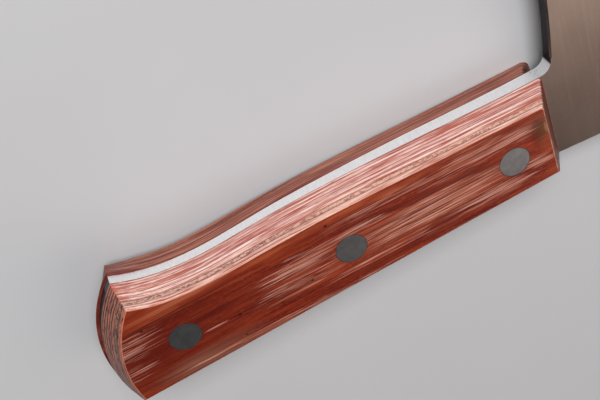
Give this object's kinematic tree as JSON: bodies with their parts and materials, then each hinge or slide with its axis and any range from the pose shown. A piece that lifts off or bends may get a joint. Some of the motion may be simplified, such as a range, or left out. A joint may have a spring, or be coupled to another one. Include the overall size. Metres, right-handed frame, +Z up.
{
  "type": "meat cleaver",
  "caption": "Butcher's cleaver with a rectangular ground steel blade, full tang and riveted red laminated wood scales, lying on its right side.",
  "frame": {"origin": "on the resting surface, under the middle of the cleaver's overall box", "axes": "+X towards the toe, +Y towards the cutting edge, +Z up. The cleaver lies on its right side as it would on a bench, so the blade dips 2.2 degrees towards the toe."},
  "size_m": [0.3114, 0.1008, 0.023],
  "materials": {
    "blade_steel": "satin, finely ground along the faces, darker unpolished heel edge",
    "rivet_steel": "flush, satin sanded",
    "face_veneer": "dyed red, resin impregnated, sanded, satin",
    "cross_veneer": "cross-grain ply, open pores, satin",
    "core_veneer": "pale pink dyed plies with dark red glue lines, satin",
    "resin": "cured dark resin"
  },
  "bodies": {
    "root": {"blade_with_tang": "blade_steel", "left_scale_ply_1": "face_veneer", "left_scale_ply_2": "cross_veneer", "left_scale_ply_3": "core_veneer", "left_scale_ply_4": "core_veneer", "left_scale_ply_5": "core_veneer", "left_scale_ply_6": "core_veneer", "left_scale_ply_7": "core_veneer", "left_scale_ply_8": "core_veneer", "right_scale_ply_1": "face_veneer", "right_scale_ply_2": "cross_veneer", "right_scale_ply_3": "core_veneer", "right_scale_ply_4": "core_veneer", "right_scale_ply_5": "core_veneer", "right_scale_ply_6": "core_veneer", "right_scale_ply_7": "core_veneer", "right_scale_ply_8": "core_veneer", "left_glue_film": "resin", "right_glue_film": "resin", "rear_rivet_socket": "rivet_steel", "rear_rivet_pin": "rivet_steel", "middle_rivet_socket": "rivet_steel", "middle_rivet_pin": "rivet_steel", "front_rivet_socket": "rivet_steel", "front_rivet_pin": "rivet_steel"}
  },
  "joints": []
}
